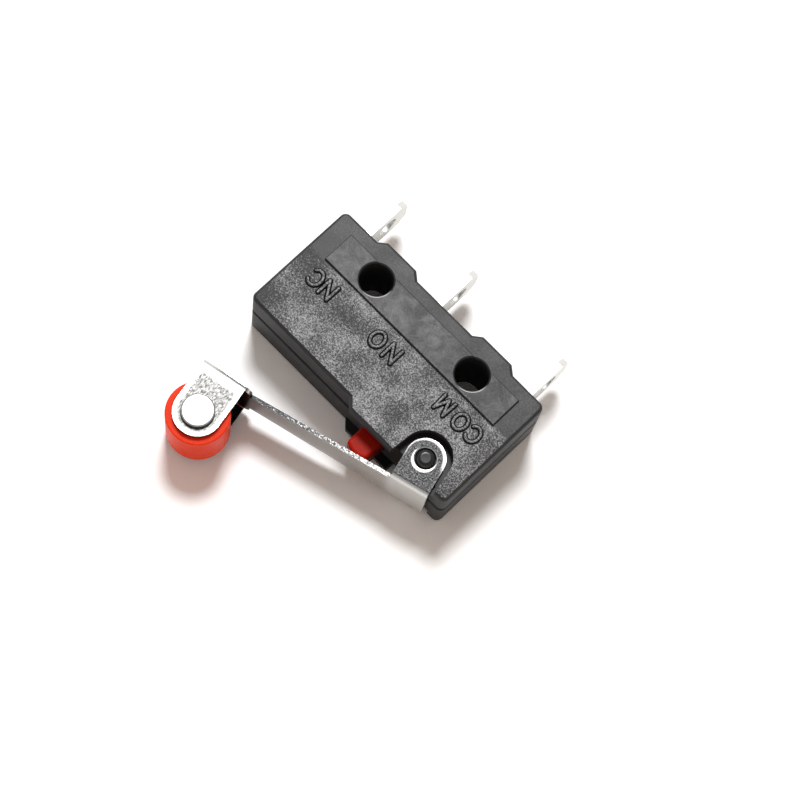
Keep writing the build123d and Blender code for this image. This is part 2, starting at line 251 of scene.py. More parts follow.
def housing_plastic(look):
    """Spark-textured black PBT: a glass-filled thermoplastic moulded against a spark-eroded steel face.
    The craters leave a fine matt grain whose glints are painted as pale specks on the tops of the grains;
    the pad round the holes and the walls are smoother, with pale swirls where the flow drew the filler out."""
    made, tree = blank("Spark-textured black PBT")
    spot = put(tree, "ShaderNodeTexCoord", {}).outputs
    place, normal = spot["Object"], spot["Normal"]
    axes = put(tree, "ShaderNodeSeparateXYZ", {"Vector": place}).outputs
    facing = put(tree, "ShaderNodeSeparateXYZ", {"Vector": normal}).outputs["Z"]
    smoke = put(tree, "ShaderNodeTexNoise", {
        "Vector": place, "Scale": 1 / look.smoke, "Detail": 4.0, "Roughness": 0.62, "Distortion": 1.4,
    }).outputs["Fac"]
    # The grain lies on the flat of the cover between the pad and the lever side; its border wanders.
    level = put(tree, "ShaderNodeMapRange", {
        "Value": facing, "From Min": 0.97, "From Max": 0.995,
    }).outputs[0]
    high = put(tree, "ShaderNodeMapRange", {
        "Value": axes["Z"], "From Min": COVER_FACE - FACE_DROP[0], "From Max": COVER_FACE - FACE_DROP[1],
    }).outputs[0]
    top = put(tree, "ShaderNodeMath", {0: level, 1: high}, operation="MULTIPLY").outputs[0]
    wander = put(tree, "ShaderNodeMapRange", {
        "Value": smoke, "To Min": -GRAIN_WANDER, "To Max": GRAIN_WANDER,
    }).outputs[0]
    across = put(tree, "ShaderNodeMath", {0: axes["Y"], 1: wander}, operation="ADD").outputs[0]
    field = put(tree, "ShaderNodeMapRange", {
        "Value": across, "From Min": GRAIN_BORDER[0], "From Max": GRAIN_BORDER[1],
        "To Min": 0.12, "To Max": 1.0,
    }).outputs[0]
    textured = put(tree, "ShaderNodeMath", {0: field, 1: top}, operation="MULTIPLY").outputs[0]
    # The real craters are about 0.05 mm wide; they are drawn twice as coarse, so that they show.
    grit = put(tree, "ShaderNodeTexNoise", {
        "Vector": place, "Scale": 1 / look.grain, "Detail": 3.0, "Roughness": 0.75,
    }).outputs["Fac"]
    patch = put(tree, "ShaderNodeTexNoise", {
        "Vector": place, "Scale": 1 / PATCH, "Detail": 3.0, "Roughness": 0.6,
    }).outputs["Fac"]
    uneven = put(tree, "ShaderNodeMapRange", {
        "Value": patch, "From Min": 0.36, "From Max": 0.62, "To Min": 0.5, "To Max": 1.0,
    }).outputs[0]
    for x, y, reach, left in FEWER_GLINTS:
        away = put(tree, "ShaderNodeVectorMath", {
            0: place, 1: (x * MM, y * MM, COVER_FACE),
        }, operation="DISTANCE").outputs["Value"]
        spot_share = put(tree, "ShaderNodeMapRange", {
            "Value": away, "From Max": reach * MM, "To Min": left, "To Max": 1.0,
        }, interpolation_type="SMOOTHSTEP").outputs[0]
        uneven = put(tree, "ShaderNodeMath", {0: uneven, 1: spot_share}, operation="MULTIPLY").outputs[0]
    # Painted glints: the tops of the grains are painted pale; in the darker spots, only the highest of them.
    lift = put(tree, "ShaderNodeMapRange", {"Value": uneven, "To Min": -0.15, "To Max": 0.025}).outputs[0]
    raised = put(tree, "ShaderNodeMath", {0: grit, 1: lift}, operation="ADD").outputs[0]
    painted_glint = put(tree, "ShaderNodeMapRange", {
        "Value": raised, "From Min": 0.42, "From Max": 0.69,
    }).outputs[0]
    glinting = put(tree, "ShaderNodeMath", {0: painted_glint, 1: textured}, operation="MULTIPLY").outputs[0]
    # The swirls are palest on the pad and fainter on the strip beyond it.
    bare = put(tree, "ShaderNodeMath", {
        0: top, 1: textured,
    }, operation="SUBTRACT", use_clamp=True).outputs[0]
    rising = put(tree, "ShaderNodeMapRange", {
        "Value": axes["Z"], "From Min": COVER_FACE, "From Max": COVER_TOP, "To Min": 0.1, "To Max": 1.0,
    }).outputs[0]
    swirl = put(tree, "ShaderNodeMapRange", {
        "Value": smoke, "From Min": 0.4, "From Max": 0.72, "To Min": 0.0, "To Max": look.haze,
    }).outputs[0]
    hazy = put(tree, "ShaderNodeMath", {0: bare, 1: rising}, operation="MULTIPLY").outputs[0]
    pale = put(tree, "ShaderNodeMath", {
        0: hazy, 1: swirl, 2: glinting,
    }, operation="MULTIPLY_ADD").outputs[0]
    # Painted highlight: the broken edges of the mounting holes are painted pale on the side towards the
    # pivot, where they face the key lamp; folding X takes both holes at once.
    folded = put(tree, "ShaderNodeVectorMath", {0: place}, operation="ABSOLUTE").outputs[0]
    folded = put(tree, "ShaderNodeVectorMath", {0: folded, 1: FLATTEN}, operation="MULTIPLY").outputs[0]
    to_axis = put(tree, "ShaderNodeVectorMath", {
        0: folded, 1: HOLE_AXIS,
    }, operation="DISTANCE").outputs["Value"]
    near = put(tree, "ShaderNodeMapRange", {
        "Value": to_axis, "From Min": HOLE_RADIUS + EDGE_REACH[0], "From Max": HOLE_RADIUS + EDGE_REACH[1],
    }).outputs[0]
    lean = put(tree, "ShaderNodeVectorMath", {
        0: normal, 1: HIGHLIGHT_WAY,
    }, operation="DOT_PRODUCT").outputs["Value"]
    slant = put(tree, "ShaderNodeMapRange", {"Value": lean, "From Min": 0.42, "From Max": 0.62}).outputs[0]
    shallow = put(tree, "ShaderNodeMath", {
        0: facing, 1: EDGE_SLOPE, 2: EDGE_TOLERANCE,
    }, operation="COMPARE").outputs[0]
    slant = put(tree, "ShaderNodeMath", {0: slant, 1: shallow}, operation="MULTIPLY").outputs[0]
    rim_highlight = put(tree, "ShaderNodeMath", {0: near, 1: slant}, operation="MULTIPLY").outputs[0]
    pale = put(tree, "ShaderNodeMath", {0: pale, 1: rim_highlight}, operation="MAXIMUM").outputs[0]
    # The walls bloom a little in the same swirls.
    wall = put(tree, "ShaderNodeMapRange", {
        "Value": facing, "From Min": 0.6, "From Max": 0.3, "To Min": 0.0, "To Max": 0.12,
    }).outputs[0]
    pale = put(tree, "ShaderNodeMath", {0: wall, 1: swirl, 2: pale}, operation="MULTIPLY_ADD").outputs[0]
    shade = put(tree, "ShaderNodeMix", {
        0: pale, 6: rgba(look.plastic), 7: rgba(look.bloom_and_glint),
    }, data_type="RGBA").outputs[2]
    rough = put(tree, "ShaderNodeMapRange", {
        "Value": facing, "From Min": 0.3, "From Max": 0.9,
        "To Min": look.wall_roughness, "To Max": look.roughness,
    }).outputs[0]
    # The ear has rubbed the pivot's end glossy.
    off = put(tree, "ShaderNodeVectorMath", {0: place, 1: PIVOT}, operation="SUBTRACT").outputs[0]
    off = put(tree, "ShaderNodeVectorMath", {0: off, 1: FLATTEN}, operation="MULTIPLY").outputs[0]
    from_pivot = put(tree, "ShaderNodeVectorMath", {0: off}, operation="LENGTH").outputs["Value"]
    rubbed = put(tree, "ShaderNodeMapRange", {
        "Value": from_pivot, "From Min": PIVOT_END[0], "From Max": PIVOT_END[1], "To Min": 1.0, "To Max": 0.6,
    }).outputs[0]
    rough = put(tree, "ShaderNodeMath", {0: rough, 1: rubbed}, operation="MULTIPLY").outputs[0]
    # Sink and flow leave the flat faces slightly wavy, which breaks up the glint.
    swell = put(tree, "ShaderNodeTexNoise", {
        "Vector": place, "Scale": 1 / look.wave, "Detail": 1.0,
    }).outputs["Fac"]
    wavy = put(tree, "ShaderNodeBump", {
        "Strength": 1.0, "Distance": look.wave_depth, "Height": swell,
    }).outputs["Normal"]
    bump = put(tree, "ShaderNodeBump", {
        "Strength": textured, "Distance": look.grain_depth, "Height": grit, "Normal": wavy,
    }).outputs["Normal"]
    skin = put(tree, "ShaderNodeBsdfPrincipled", {
        "Base Color": shade, "Roughness": rough, "IOR": PLASTIC_IOR, "Specular IOR Level": 0.35,
        "Normal": bump,
    }).outputs[0]
    put(tree, "ShaderNodeOutputMaterial", {"Surface": skin})
    return made


# The crown of a mark, which carries the painted glints, fades in between these shares of its relief.
CROWN = (0.8, 0.98)


def mark_plastic(look, housing):
    """Black PBT of the raised marks: the letters were cut smooth into the mould; their flanks are painted
    near black as shade beside the grain, and only their flat crowns get the face's painted glints, about as
    pale as the face round them."""
    made, tree = blank("Polished black PBT of the marks")
    place = put(tree, "ShaderNodeTexCoord", {}).outputs["Object"]
    height = put(tree, "ShaderNodeSeparateXYZ", {"Vector": place}).outputs["Z"]
    crown = put(tree, "ShaderNodeMapRange", {
        "Value": height,
        "From Min": COVER_FACE + CROWN[0] * look.relief, "From Max": COVER_FACE + CROWN[1] * look.relief,
    }).outputs[0]
    grit = put(tree, "ShaderNodeTexNoise", {
        "Vector": place, "Scale": 1 / housing.grain, "Detail": 2.0,
    }).outputs["Fac"]
    painted_glint = put(tree, "ShaderNodeMapRange", {
        "Value": grit, "From Min": 0.4, "From Max": 0.64, "To Min": 0.12, "To Max": 0.72,
    }).outputs[0]
    pale = put(tree, "ShaderNodeMath", {0: crown, 1: painted_glint}, operation="MULTIPLY").outputs[0]
    # Painted shade on the flanks, the face's painted glints on the crowns.
    shade = put(tree, "ShaderNodeMix", {
        0: pale, 6: rgba(look.flank_shade), 7: rgba(housing.bloom_and_glint),
    }, data_type="RGBA").outputs[2]
    skin = put(tree, "ShaderNodeBsdfPrincipled", {
        "Base Color": shade, "Roughness": 0.45, "IOR": PLASTIC_IOR, "Specular IOR Level": 0.2,
    }).outputs[0]
    put(tree, "ShaderNodeOutputMaterial", {"Surface": skin})
    return made


# Lever finish. The dulled flats of the ears: where each starts, and the distances from its middle line at
# which it is full and gone. Those at the pivot are dulled up to their edges near the fold.
DENTED = (PIVOT[0] - 0.07 * MM, PIVOT[1] - 0.07 * MM, 0.0)
DENTED_LOW = tuple(np.array(PIVOT) + 0.9 * MM * np.array(PIVOT_EAR_WAY))
PIVOT_FLAT = (1.26 * MM, 1.45 * MM)
PIVOT_LOW_FLAT = (1.4 * MM, 1.9 * MM)
ROLLER_FLAT = (1.35 * MM, 1.72 * MM)
# From the roller's axis towards the fold, the scuffs end between these places.
SCUFF_END = (2.9 * MM, 2.4 * MM)
# Middle and radii of the bright crescent that the boss has rubbed.
RUBBED = (PIVOT[0], PIVOT[1] - 0.14 * MM, 0.0)
RUB_REACH = (0.84 * MM, 0.94 * MM)
# Along the arm from the pivot: where the painted shade on the satin runs from none to full, and where the web
# behind the roller, with its darker painted shade, begins.
SHADE_RUN = (2.0 * MM, 12.5 * MM)
WEB_SHADE_RUN = (12.7 * MM, 13.0 * MM)
# The arm's sheared edges begin this far below the ears.
SHEAR_DROP = (0.3 * MM, 0.4 * MM)


def ear_flat(tree, place, centre, way, reach):
    """Mask of a rounded ear that runs from a centre along a way: 1 up to the first distance from that
    middle line, falling to 0 at the second. Also gives the place along the way."""
    off = put(tree, "ShaderNodeVectorMath", {0: place, 1: centre}, operation="SUBTRACT").outputs[0]
    along = put(tree, "ShaderNodeVectorMath", {0: off, 1: way}, operation="DOT_PRODUCT").outputs["Value"]
    past = put(tree, "ShaderNodeMath", {0: along, 1: 0.0}, operation="MAXIMUM").outputs[0]
    foot = put(tree, "ShaderNodeVectorMath", {0: way, "Scale": past}, operation="SCALE").outputs[0]
    side = put(tree, "ShaderNodeVectorMath", {0: off, 1: foot}, operation="SUBTRACT").outputs[0]
    level = put(tree, "ShaderNodeVectorMath", {0: side, 1: FLATTEN}, operation="MULTIPLY").outputs[0]
    away = put(tree, "ShaderNodeVectorMath", {0: level}, operation="LENGTH").outputs["Value"]
    flat = put(tree, "ShaderNodeMapRange", {
        "Value": away, "From Min": reach[0], "From Max": reach[1], "To Min": 1.0, "To Max": 0.0,
    }).outputs[0]
    return flat, along


def lever_steel(look):
    """Nickel-plated spring steel of the lever: blanked strip, folded and tumbled bright. Dull dents break
    up the flats of the ears and their rims stay bright. The strip's outer face is a satin tone with painted
    shade, darker towards the roller and darkest on the web at the roller."""
    made, tree = blank("Tumbled nickel-plated spring steel")
    spot = put(tree, "ShaderNodeTexCoord", {}).outputs
    place = spot["Object"]
    normal = put(tree, "ShaderNodeSeparateXYZ", {"Vector": spot["Normal"]}).outputs
    facing = put(tree, "ShaderNodeMath", {0: normal["Z"]}, operation="ABSOLUTE").outputs[0]
    level = put(tree, "ShaderNodeMapRange", {
        "Value": facing, "From Min": 0.95, "From Max": 0.99,
    }).outputs[0]
    wall = put(tree, "ShaderNodeMapRange", {"Value": facing, "From Min": 0.6, "From Max": 0.3}).outputs[0]
    dents = put(tree, "ShaderNodeTexNoise", {
        "Vector": place, "Scale": 1 / look.grain, "Detail": 3.0, "Roughness": 0.7,
    }).outputs["Fac"]
    pivot_ear, _ = ear_flat(tree, place, DENTED, PIVOT_EAR_WAY, PIVOT_FLAT)
    low_ear, _ = ear_flat(tree, place, DENTED_LOW, PIVOT_EAR_WAY, PIVOT_LOW_FLAT)
    pivot_ear = put(tree, "ShaderNodeMath", {0: pivot_ear, 1: low_ear}, operation="MAXIMUM").outputs[0]
    roller_ear, to_fold = ear_flat(tree, place, ROLLER, ROLLER_EAR_WAY, ROLLER_FLAT)
    # The boss has rubbed a bright crescent on the arm's side of the pivot hole.
    level_place = put(tree, "ShaderNodeVectorMath", {
        0: place, 1: FLATTEN,
    }, operation="MULTIPLY").outputs[0]
    from_boss = put(tree, "ShaderNodeVectorMath", {
        0: level_place, 1: RUBBED,
    }, operation="DISTANCE").outputs["Value"]
    unrubbed = put(tree, "ShaderNodeMapRange", {
        "Value": from_boss, "From Min": RUB_REACH[0], "From Max": RUB_REACH[1],
    }).outputs[0]
    pivot_ear = put(tree, "ShaderNodeMath", {0: pivot_ear, 1: unrubbed}, operation="MULTIPLY").outputs[0]
    # Dents cover the ears at the pivot; those at the roller have scuffs, with bright skin between them.
    dense = put(tree, "ShaderNodeMapRange", {
        "Value": dents, "From Min": 0.36, "From Max": 0.56, "To Min": 0.76, "To Max": 1.0,
    }).outputs[0]
    drawn = put(tree, "ShaderNodeMapping", {
        "Vector": place, "Rotation": (0, 0, -ROLLER_END_ANGLE), "Scale": (1.0, 0.5, 1.0),
    }).outputs[0]
    scuffs = put(tree, "ShaderNodeTexNoise", {
        "Vector": drawn, "Scale": 1 / look.scuff, "Detail": 3.0, "Roughness": 0.7,
    }).outputs["Fac"]
    sparse = put(tree, "ShaderNodeMapRange", {
        "Value": scuffs, "From Min": 0.34, "From Max": 0.62, "To Min": 0.2, "To Max": 0.9,
    }).outputs[0]
    clear = put(tree, "ShaderNodeMapRange", {
        "Value": to_fold, "From Min": SCUFF_END[0], "From Max": SCUFF_END[1],
    }).outputs[0]
    roller_ear = put(tree, "ShaderNodeMath", {0: roller_ear, 1: clear}, operation="MULTIPLY").outputs[0]
    flats = put(tree, "ShaderNodeMath", {0: roller_ear, 1: pivot_ear}, operation="MAXIMUM").outputs[0]
    thin = put(tree, "ShaderNodeMath", {0: sparse, 1: roller_ear}, operation="MULTIPLY").outputs[0]
    thick = put(tree, "ShaderNodeMath", {0: dense, 1: pivot_ear}, operation="MULTIPLY").outputs[0]
    dented = put(tree, "ShaderNodeMath", {0: thin, 1: thick}, operation="MAXIMUM").outputs[0]
    # Painted shade: the satin of the outer face is painted darker towards the roller, and darkest on the web
    # behind it, which lies in shade.
    off = put(tree, "ShaderNodeVectorMath", {0: place, 1: PIVOT}, operation="SUBTRACT").outputs[0]
    along = put(tree, "ShaderNodeVectorMath", {
        0: off, 1: ARM_WAY,
    }, operation="DOT_PRODUCT").outputs["Value"]
    satin = put(tree, "ShaderNodeMapRange", {
        "Value": along, "From Min": SHADE_RUN[0], "From Max": SHADE_RUN[1], "To Min": 0.12, "To Max": 0.62,
    }).outputs[0]
    web_shade = put(tree, "ShaderNodeMapRange", {
        "Value": along, "From Min": WEB_SHADE_RUN[0], "From Max": WEB_SHADE_RUN[1], "To Min": 0.0, "To Max": 0.37,
    }).outputs[0]
    grey = put(tree, "ShaderNodeMath", {0: satin, 1: web_shade}, operation="ADD").outputs[0]
    # The faces towards the housing get a flat share of the dull colour instead of the painted shade.
    grey = put(tree, "ShaderNodeMapRange", {
        "Value": normal["Y"], "From Min": 0.0, "From Max": 0.3, "To Min": grey, "To Max": 0.25,
    }).outputs[0]
    # The sheared edges of the arm lie lower than the ears, and are torn dark in places; towards the roller
    # they also take the arm's painted shade.
    height = put(tree, "ShaderNodeSeparateXYZ", {"Vector": place}).outputs["Z"]
    sheared = put(tree, "ShaderNodeMapRange", {
        "Value": height, "From Min": EAR_TOP - SHEAR_DROP[0], "From Max": EAR_TOP - SHEAR_DROP[1],
    }).outputs[0]
    torn_and_shade = put(tree, "ShaderNodeMapRange", {
        "Value": dents, "From Min": 0.38, "From Max": 0.56, "To Min": 0.0, "To Max": 0.7,
    }).outputs[0]
    torn_and_shade = put(tree, "ShaderNodeMath", {
        0: satin, 1: 1.3, 2: torn_and_shade,
    }, operation="MULTIPLY_ADD", use_clamp=True).outputs[0]
    torn_and_shade = put(tree, "ShaderNodeMath", {0: sheared, 1: torn_and_shade}, operation="MULTIPLY").outputs[0]
    dented = put(tree, "ShaderNodeMath", {0: dented, 1: torn_and_shade}, operation="MAXIMUM").outputs[0]
    dented = put(tree, "ShaderNodeMath", {0: dented, 1: level}, operation="MULTIPLY").outputs[0]
    # Walls get the satin tone with its painted shade; flats and edges get their dents.
    dull_and_shade = put(tree, "ShaderNodeMath", {0: wall, 1: grey, 2: dented}, operation="MULTIPLY_ADD").outputs[0]
    shade = put(tree, "ShaderNodeMix", {
        0: dull_and_shade, 6: rgba(look.steel), 7: rgba(look.dull_and_shade),
    }, data_type="RGBA").outputs[2]
    rough = put(tree, "ShaderNodeMapRange", {
        "Value": flats, "To Min": look.roughness, "To Max": look.matt,
    }).outputs[0]
    # The dents are deep at the pivot and shallow on the scuffed ears and the sheared edges.
    calm = put(tree, "ShaderNodeMath", {0: roller_ear, 1: sheared}, operation="MAXIMUM").outputs[0]
    press = put(tree, "ShaderNodeMapRange", {"Value": calm, "To Min": 1.0, "To Max": 0.2}).outputs[0]
    press = put(tree, "ShaderNodeMath", {0: press, 1: level}, operation="MULTIPLY").outputs[0]
    bump = put(tree, "ShaderNodeBump", {
        "Strength": press, "Distance": look.dent_depth, "Height": dents,
    }).outputs["Normal"]
    skin = put(tree, "ShaderNodeBsdfPrincipled", {
        "Base Color": shade, "Metallic": 1.0, "Roughness": rough, "Normal": bump,
    }).outputs[0]
    put(tree, "ShaderNodeOutputMaterial", {"Surface": skin})
    return made


def rivet_steel(look):
    """Nickel-plated rivet steel: upset cold and tumbled, so its heads are bright with a faint grain; their
    sides are painted darker as shade."""
    made, tree = blank("Bright nickel-plated rivet steel")
    spot = put(tree, "ShaderNodeTexCoord", {}).outputs
    upright = put(tree, "ShaderNodeSeparateXYZ", {"Vector": spot["Normal"]}).outputs["Z"]
    facing = put(tree, "ShaderNodeMath", {0: upright}, operation="ABSOLUTE").outputs[0]
    # Painted shade: the sides of the heads are painted dark.
    side = put(tree, "ShaderNodeMapRange", {
        "Value": facing, "From Min": 0.9, "From Max": 0.6, "To Min": 0.0, "To Max": 0.94,
    }).outputs[0]
    dents = put(tree, "ShaderNodeTexNoise", {
        "Vector": spot["Object"], "Scale": 1 / look.grain, "Detail": 2.0,
    }).outputs["Fac"]
    dull_and_shade = put(tree, "ShaderNodeMapRange", {
        "Value": dents, "From Min": 0.5, "From Max": 0.7, "To Min": 0.0, "To Max": 0.2,
    }).outputs[0]
    dull_and_shade = put(tree, "ShaderNodeMath", {0: dull_and_shade, 1: side}, operation="MAXIMUM").outputs[0]
    shade = put(tree, "ShaderNodeMix", {
        0: dull_and_shade, 6: rgba(look.steel), 7: rgba(look.dull_and_shade),
    }, data_type="RGBA").outputs[2]
    bump = put(tree, "ShaderNodeBump", {
        "Strength": 0.15, "Distance": look.dent_depth, "Height": dents,
    }).outputs["Normal"]
    skin = put(tree, "ShaderNodeBsdfPrincipled", {
        "Base Color": shade, "Metallic": 1.0, "Roughness": look.rivet_roughness, "Normal": bump,
    }).outputs[0]
    put(tree, "ShaderNodeOutputMaterial", {"Surface": skin})
    return made


# Acetal: spacing of its flow pattern and of its satin skin, height of the skin, how dark the flow goes, and
# how far red, green and blue light travel in it, as shares of the scatter depth.
FLOW = 0.9 * MM
SATIN = 0.09 * MM
SATIN_DEPTH = 0.006 * MM
FLOW_SHADE = 0.9
ACETAL_IOR = 1.4
SCATTER_SHARES = (1.0, 0.28, 0.1)


def red_acetal(name, red, look):
    """Red acetal: an unfilled crystalline plastic, moulded smooth. Light enters and scatters, so edges
    glow; a faint flow pattern and a satin skin break up the gloss."""
    made, tree = blank(name)
    place = put(tree, "ShaderNodeTexCoord", {}).outputs["Object"]
    flow = put(tree, "ShaderNodeTexNoise", {
        "Vector": place, "Scale": 1 / FLOW, "Detail": 3.0, "Distortion": 0.6,
    }).outputs["Fac"]
    satin = put(tree, "ShaderNodeTexNoise", {
        "Vector": place, "Scale": 1 / SATIN, "Detail": 2.0,
    }).outputs["Fac"]
    mottled = put(tree, "ShaderNodeMapRange", {
        "Value": flow, "From Min": 0.3, "From Max": 0.7,
    }).outputs[0]
    deep = tuple(FLOW_SHADE * x for x in red)
    shade = put(tree, "ShaderNodeMix", {
        0: mottled, 6: rgba(deep), 7: rgba(red),
    }, data_type="RGBA").outputs[2]
    rough = put(tree, "ShaderNodeMapRange", {
        "Value": satin, "From Min": 0.3, "From Max": 0.7,
        "To Min": look.roughness - 0.06, "To Max": look.roughness + 0.1,
    }).outputs[0]
    bump = put(tree, "ShaderNodeBump", {
        "Strength": 0.2, "Distance": SATIN_DEPTH, "Height": satin,
    }).outputs["Normal"]
    skin = put(tree, "ShaderNodeBsdfPrincipled", {
        "Base Color": shade, "Roughness": rough, "IOR": ACETAL_IOR, "Specular IOR Level": 0.15,
        "Normal": bump, "Subsurface Weight": 0.5, "Subsurface Radius": SCATTER_SHARES,
        "Subsurface Scale": look.scatter,
    }).outputs[0]
    put(tree, "ShaderNodeOutputMaterial", {"Surface": skin})
    return made


# Rolled metals: name, colour property, CAD nodes, roughness, spacing of the rolling lines in millimetres,
# and the share of the colour that is left in the darkest lines.
METALS = (
    ("Silver-plated brass strip", "silver",
     ("common_terminal", "open_terminal", "closed_terminal"), 0.42, 0.07, 0.95),
    ("Silver contact alloy", "contact",
     ("open_contact", "closed_contact", "moving_contact"), 0.3, 0.1, 0.9),
    ("Rolled beryllium copper", "copper", ("blade", "snap_spring"), 0.3, 0.08, 0.8),
)
LINE_DEPTH = 0.002 * MM
LINE_STRETCH = (1.0, 0.06, 1.0)


def rolled_metal(name, shade, roughness, spacing, left):
    """Rolled and plated strip: fine lines run along the rolling direction, the part's Y, and change the
    gloss from line to line. The darkest lines keep the share of the shade called left."""
    made, tree = blank(name)
    place = put(tree, "ShaderNodeTexCoord", {}).outputs["Object"]
    drawn = put(tree, "ShaderNodeMapping", {"Vector": place, "Scale": LINE_STRETCH}).outputs[0]
    lines = put(tree, "ShaderNodeTexNoise", {
        "Vector": drawn, "Scale": 1 / spacing, "Detail": 3.0,
    }).outputs["Fac"]
    mixed = put(tree, "ShaderNodeMapRange", {"Value": lines, "From Min": 0.3, "From Max": 0.7}).outputs[0]
    darker = tuple(left * x for x in shade)
    tone = put(tree, "ShaderNodeMix", {
        0: mixed, 6: rgba(darker), 7: rgba(shade),
    }, data_type="RGBA").outputs[2]
    rough = put(tree, "ShaderNodeMapRange", {
        "Value": lines, "From Min": 0.3, "From Max": 0.7, "To Min": roughness + 0.1, "To Max": roughness,
    }).outputs[0]
    bump = put(tree, "ShaderNodeBump", {
        "Strength": 0.1, "Distance": LINE_DEPTH, "Height": lines,
    }).outputs["Normal"]
    skin = put(tree, "ShaderNodeBsdfPrincipled", {
        "Base Color": tone, "Metallic": 1.0, "Roughness": rough, "Normal": bump,
    }).outputs[0]
    put(tree, "ShaderNodeOutputMaterial", {"Surface": skin})
    return made


# Each capital is drawn in a square of side 1 about its middle: "line" strokes join points, and "arc"
# strokes are parts of an ellipse, given as half width, half height, first and last angle in degrees.
CAPITALS = {
    "C": [("arc", 0.4, 0.5, 42, 318)],
    "O": [("arc", 0.4, 0.5, 0, 360)],
    "M": [("line", (-0.4, -0.5), (-0.36, 0.5)), ("line", (-0.36, 0.5), (0.0, -0.42)),
          ("line", (0.0, -0.42), (0.36, 0.5)), ("line", (0.36, 0.5), (0.4, -0.5))],
    "N": [("line", (-0.34, -0.5), (-0.34, 0.5)), ("line", (-0.34, 0.5), (0.34, -0.5)),
          ("line", (0.34, -0.5), (0.34, 0.5))],
}
# Middle of each letter along X, in millimetres, in the order in which the word is read.
WORDS = {
    "mark_common": (("C", 7.82), ("O", 6.6), ("M", 5.0)),
    "mark_open": (("N", -0.17), ("O", -1.6)),
    "mark_closed": (("N", -6.53), ("C", -7.8)),
}
# The words are read along -X with their tops to -Y, half a turn from the capitals' own square.
HALF_TURN = np.array([-1.0, -1.0, 1.0])
FULL_TURN = 360
PATH_STEPS = 40
RING_STEPS = 20
CAP_STEPS = 6
CROWN_POWER = 2.4
FOOT_SINK = 0.02 * MM
POLE_REACH = 1e-6 * MM


def stroke_path(stroke):
    """Points of a stroke in the capital's own square. A line is a straight blend of its two ends; an arc
    is half width times the cosine and half height times the sine of an angle that runs evenly."""
    t = np.linspace(0, 1, PATH_STEPS)[:, None]
    if stroke[0] == "line":
        return (1 - t) * np.array(stroke[1]) + t * np.array(stroke[2])
    wide, high, first, last = stroke[1:]
    angle = np.radians(first + (last - first) * t)
    return np.hstack([wide * np.cos(angle), high * np.sin(angle)])


def ridge(path, half_width, relief, closed):
    """Moulded stroke: a section carried along a path. At share s of the half width to the side, the
    section rises by the relief times 1 less the size of s to the CROWN_POWER, which is flat in the middle
    and steep at the foot; a flat sole just under the cover face closes it. An open path gets caps: there
    the section runs on past the end by sin u half widths and shrinks by cos u, as a ball does."""
    if closed:
        path = path[:-1]
        along = np.roll(path, -1, 0) - np.roll(path, 1, 0)
    else:
        along = np.gradient(path, axis=0)
    along = along / np.linalg.norm(along, axis=1, keepdims=True)
    size = np.ones(len(path))
    if not closed:
        u = np.linspace(0, np.pi / 2, CAP_STEPS + 1)[1:]
        before = path[0] - along[0] * half_width * np.sin(u[::-1])[:, None]
        after = path[-1] + along[-1] * half_width * np.sin(u)[:, None]
        path = np.vstack([before, path, after])
        first, last = np.repeat(along[:1], CAP_STEPS, 0), np.repeat(along[-1:], CAP_STEPS, 0)
        along = np.vstack([first, along, last])
        size = np.concatenate([np.cos(u[::-1]), size, np.cos(u)])
    s = np.cos(np.linspace(0, np.pi, RING_STEPS - 2))
    side = half_width * np.append(s, [-1.0, 1.0])
    rise = np.append(relief * (1 - np.abs(s) ** CROWN_POWER), [-FOOT_SINK, -FOOT_SINK])
    across = np.stack([along[:, 1], -along[:, 0]], 1)
    flat = path[:, None, :] + size[:, None, None] * side[None, :, None] * across[:, None, :]
    high = size[:, None] * rise[None, :]
    return np.concatenate([flat, high[:, :, None]], 2)


def ring_faces(rows, closed):
    """Quads between neighbouring rings of a grid, which closes round each ring and, if asked, end to end.
    Seen from outside they run anticlockwise, so they face outwards."""
    i = np.arange(rows if closed else rows - 1)[:, None]
    j = np.arange(RING_STEPS)[None, :]
    i_next, j_next = (i + 1) % rows, (j + 1) % RING_STEPS
    quad = [a * RING_STEPS + b for a, b in ((i, j), (i_next, j), (i_next, j_next), (i, j_next))]
    return np.stack(np.broadcast_arrays(*quad), -1).reshape(-1, 4)


def word_mesh(letters, look):
    """Points and faces of a word: the ridges of its capitals' strokes, half turned and set on the cover."""
    points, faces, count = [], [], 0
    scale = look.height - look.stroke
    for letter, middle in letters:
        place = np.array([middle * MM, -look.line, COVER_FACE])
        for stroke in CAPITALS[letter]:
            closed = stroke[0] == "arc" and stroke[4] - stroke[3] == FULL_TURN
            grid = ridge(stroke_path(stroke) * scale, look.stroke / 2, look.relief, closed)
            points.append((grid * HALF_TURN + place).reshape(-1, 3))
            faces.append(ring_faces(len(grid), closed) + count)
            count += len(points[-1])
    return np.vstack(points), np.vstack(faces)


def mesh_piece(name, points, faces, material, body):
    """Object at the origin with a smooth mesh, riding on a body and named for a material slot."""
    mesh = bpy.data.meshes.new(name)
    mesh.from_pydata(points.tolist(), [], faces.tolist())
    mesh.polygons.foreach_set("use_smooth", np.ones(len(faces), bool))
    mesh.materials.append(material)
    # Rings that shrink to a point become that one point.
    solid = bmesh.new()
    solid.from_mesh(mesh)
    bmesh.ops.remove_doubles(solid, verts=solid.verts, dist=POLE_REACH)
    solid.to_mesh(mesh)
    solid.free()
    mesh.update()
    made = bpy.data.objects.new(name, mesh)
    bpy.context.scene.collection.objects.link(made)
    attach(made, body)


